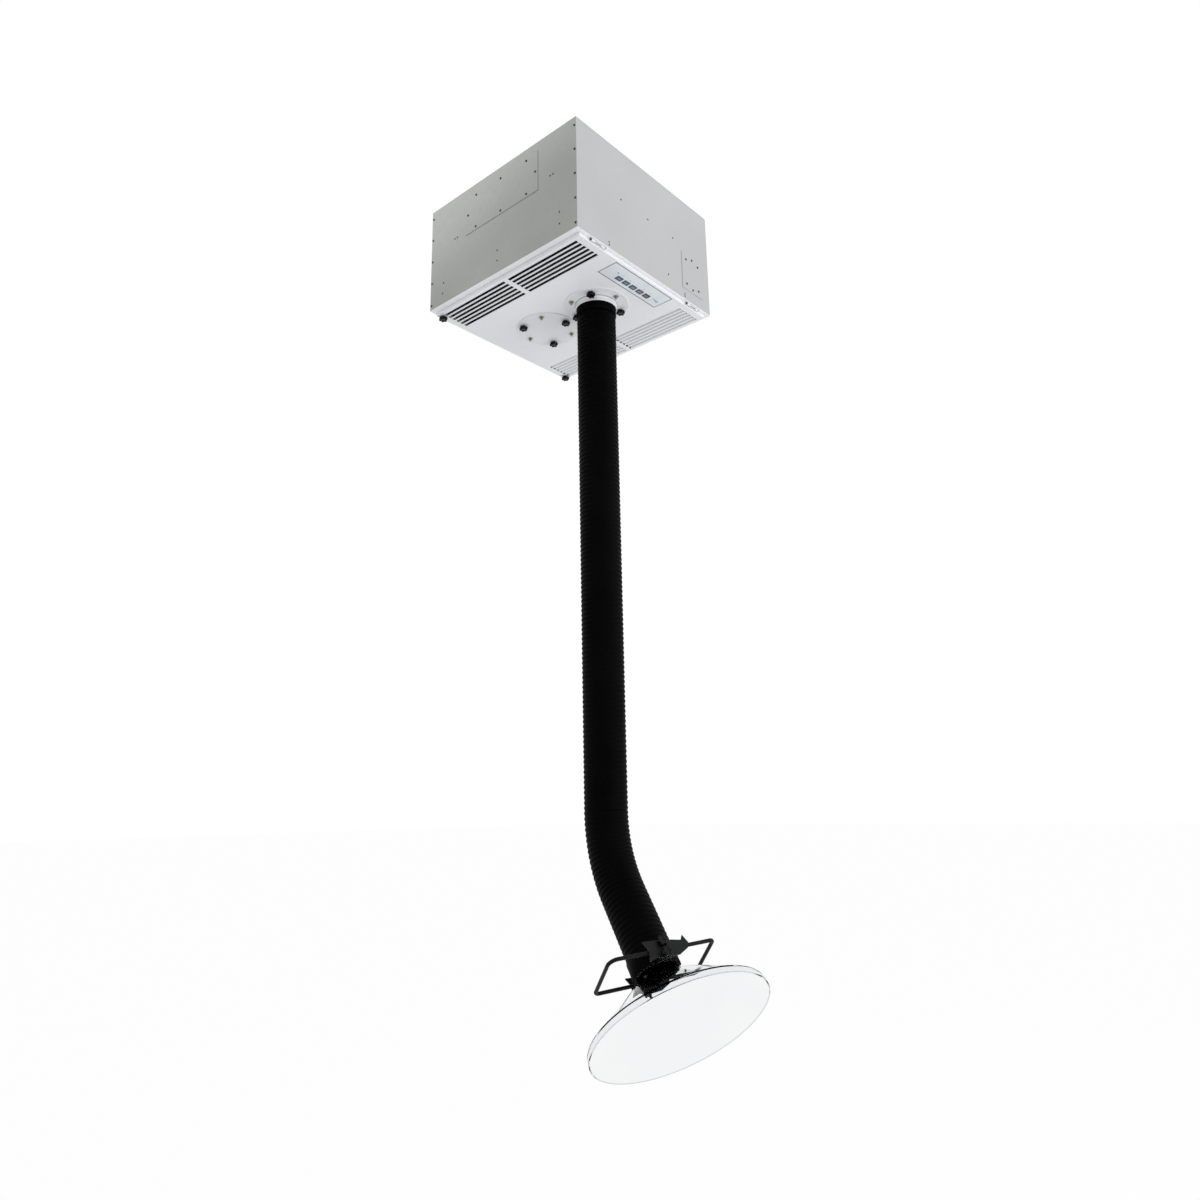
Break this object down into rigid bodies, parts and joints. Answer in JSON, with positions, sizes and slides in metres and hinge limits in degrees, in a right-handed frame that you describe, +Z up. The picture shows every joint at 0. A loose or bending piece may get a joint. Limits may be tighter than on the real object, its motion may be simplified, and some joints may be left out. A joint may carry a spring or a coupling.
{
  "type": "ceiling mounted fume extractor",
  "caption": "Ceiling mounted filter and fan cabinet that draws fumes up through a ribbed hose with a clear hood and a handle.",
  "frame": {"origin": "centre of the cabinet's top face, on the ceiling plane, between the four ceiling bolts", "axes": "+Z up into the ceiling, +X to the right along the front with the hinges and the control panel, +Y to the rear"},
  "size_m": [0.6053, 0.8574, 2.4049],
  "materials": {
    "galvanised": "galvanised",
    "side_sheet": "brushed sheet, grey green",
    "front_sheet": "brushed sheet, pale grey",
    "white_paint": "white powder coat",
    "screw_steel": "zinc",
    "hinge_steel": "satin",
    "dark_plastic": "matte",
    "filter_white": "pleated fleece",
    "filter_carbon": "carbon",
    "motor_black": "black",
    "impeller_blue": "moulded",
    "gasket_rubber": "foam rubber",
    "overlay_film": "printed film",
    "board_green": "circuit board",
    "plate_grey": "pale grey powder coat",
    "collar_white": "moulded white",
    "nut_brass": "brass nut on a zinc washer",
    "key_blue": "printed key",
    "key_grey": "printed key",
    "knob_black": "moulded black",
    "hose_black": "ribbed black hose",
    "hood_clear": "clear moulded plastic",
    "rod_black": "black satin",
    "clamp_grey": "dark grey satin"
  },
  "bodies": {
    "cabinet": {"top_pan": "galvanised", "left_panel": "side_sheet", "right_panel": "side_sheet", "front_panel": "front_sheet", "rear_panel": "front_sheet", "base_frame": "white_paint", "mounting_channels": "galvanised", "access_plate": "side_sheet", "terminal_cover": "front_sheet", "panel_screws": "screw_steel", "rivets": "screw_steel", "conduit_bush": "dark_plastic", "filter_housing": "galvanised", "blower_deck": "galvanised", "prefilter": "filter_white", "hepa_filter": "filter_white", "carbon_filter": "filter_carbon", "filter_clips": "galvanised", "blower_housing": "galvanised", "motor_stator": "motor_black", "terminal_block": "dark_plastic", "hinge_leaves_cabinet": "hinge_steel"},
    "fan": {"impeller": "impeller_blue", "motor_rotor": "motor_black"},
    "door": {"door_panel": "white_paint", "door_gasket": "gasket_rubber", "hinge_leaves_door": "hinge_steel", "control_overlay": "overlay_film", "control_board": "board_green", "inlet_plate": "plate_grey", "inlet_collar": "collar_white", "blank_plate": "plate_grey", "plate_nuts": "nut_brass"},
    "key_1": {"key_1": "key_blue"},
    "key_2": {"key_2": "key_blue"},
    "key_3": {"key_3": "key_blue"},
    "key_4": {"key_4": "key_blue"},
    "key_5": {"key_5": "key_grey"},
    "door_knob_left": {"door_knob_left": "knob_black"},
    "door_knob_right": {"door_knob_right": "knob_black"},
    "inlet_knob_1": {"inlet_knob_1": "knob_black"},
    "inlet_knob_2": {"inlet_knob_2": "knob_black"},
    "inlet_knob_3": {"inlet_knob_3": "knob_black"},
    "blank_knob_1": {"blank_knob_1": "knob_black"},
    "blank_knob_2": {"blank_knob_2": "knob_black"},
    "blank_knob_3": {"blank_knob_3": "knob_black"},
    "clamp_knob_1": {"clamp_knob_1": "knob_black"},
    "clamp_knob_2": {"clamp_knob_2": "knob_black"},
    "clamp_knob_3": {"clamp_knob_3": "knob_black"},
    "clamp_knob_4": {"clamp_knob_4": "knob_black"},
    "hose_top": {"hose_cuff_top": "hose_black", "hose_top_flex": "hose_black"},
    "hose": {"hose_main": "hose_black", "hose_bend": "hose_black"},
    "hose_end": {"hose_lower": "hose_black", "hose_cuff_bottom": "hose_black", "hood": "hood_clear", "hood_screws": "screw_steel", "handle_rod": "rod_black", "clamp_plates": "clamp_grey"}
  },
  "joints": [
    {"name": "door_hinge", "type": "hinge", "parent": "cabinet", "child": "door", "pos_m": [0, -0.2955, -0.3426], "axis": [-1, 0, 0], "range_deg": [0, 90]},
    {"name": "fan_spin", "type": "hinge", "parent": "cabinet", "child": "fan", "pos_m": [0, 0, -0.1], "axis": [0, 0, 1], "continuous": true},
    {"name": "key_1_press", "type": "slide", "parent": "door", "child": "key_1", "axis": [0, 0, 1], "range_m": [0, 0.0005], "stiffness_N_per_m": 2000},
    {"name": "key_2_press", "type": "slide", "parent": "door", "child": "key_2", "axis": [0, 0, 1], "range_m": [0, 0.0005], "stiffness_N_per_m": 2000},
    {"name": "key_3_press", "type": "slide", "parent": "door", "child": "key_3", "axis": [0, 0, 1], "range_m": [0, 0.0005], "stiffness_N_per_m": 2000},
    {"name": "key_4_press", "type": "slide", "parent": "door", "child": "key_4", "axis": [0, 0, 1], "range_m": [0, 0.0005], "stiffness_N_per_m": 2000},
    {"name": "key_5_press", "type": "slide", "parent": "door", "child": "key_5", "axis": [0, 0, 1], "range_m": [0, 0.0005], "stiffness_N_per_m": 2000},
    {"name": "door_knob_left_turn", "type": "hinge", "parent": "door", "child": "door_knob_left", "pos_m": [-0.268, 0.277, -0.35], "axis": [0, 0, 1], "continuous": true},
    {"name": "door_knob_right_turn", "type": "hinge", "parent": "door", "child": "door_knob_right", "pos_m": [0.268, 0.277, -0.35], "axis": [0, 0, 1], "continuous": true},
    {"name": "inlet_knob_1_turn", "type": "hinge", "parent": "door", "child": "inlet_knob_1", "pos_m": [-0.06668, -0.1385, -0.353], "axis": [0, 0, 1], "continuous": true},
    {"name": "inlet_knob_2_turn", "type": "hinge", "parent": "door", "child": "inlet_knob_2", "pos_m": [0.06668, -0.1385, -0.353], "axis": [0, 0, 1], "continuous": true},
    {"name": "inlet_knob_3_turn", "type": "hinge", "parent": "door", "child": "inlet_knob_3", "pos_m": [0, -0.023, -0.353], "axis": [0, 0, 1], "continuous": true},
    {"name": "blank_knob_1_turn", "type": "hinge", "parent": "door", "child": "blank_knob_1", "pos_m": [0.06668, 0.1385, -0.353], "axis": [0, 0, 1], "continuous": true},
    {"name": "blank_knob_2_turn", "type": "hinge", "parent": "door", "child": "blank_knob_2", "pos_m": [-0.06668, 0.1385, -0.353], "axis": [0, 0, 1], "continuous": true},
    {"name": "blank_knob_3_turn", "type": "hinge", "parent": "door", "child": "blank_knob_3", "pos_m": [0, 0.023, -0.353], "axis": [0, 0, 1], "continuous": true},
    {"name": "hose_turn", "type": "hinge", "parent": "door", "child": "hose_top", "pos_m": [0, -0.1, -0.3613], "axis": [0, 0, 1], "continuous": true},
    {"name": "hose_swing", "type": "hinge", "parent": "hose_top", "child": "hose", "pos_m": [0, -0.1, -0.5113], "axis": [-0.9505, 0.3107, 0], "range_deg": [-30, 30], "deforming": ["hose_top_flex"]},
    {"name": "hose_elbow", "type": "hinge", "parent": "hose", "child": "hose_end", "pos_m": [0, -0.1, -1.91258], "axis": [-0.9505, 0.3107, 0], "range_deg": [-40, 45], "deforming": ["hose_bend"]},
    {"name": "clamp_knob_1_turn", "type": "hinge", "parent": "hose_end", "child": "clamp_knob_1", "pos_m": [-0.08792, -0.33308, -2.09199], "axis": [0.3764, 0.6703, -0.6395], "continuous": true},
    {"name": "clamp_knob_2_turn", "type": "hinge", "parent": "hose_end", "child": "clamp_knob_2", "pos_m": [-0.09334, -0.34968, -2.11258], "axis": [0.3764, 0.6703, -0.6395], "continuous": true},
    {"name": "clamp_knob_3_turn", "type": "hinge", "parent": "hose_end", "child": "clamp_knob_3", "pos_m": [-0.03176, -0.23307, -2.1874], "axis": [-0.3764, -0.6703, 0.6395], "continuous": true},
    {"name": "clamp_knob_4_turn", "type": "hinge", "parent": "hose_end", "child": "clamp_knob_4", "pos_m": [-0.03718, -0.24966, -2.20799], "axis": [-0.3764, -0.6703, 0.6395], "continuous": true}
  ]
}
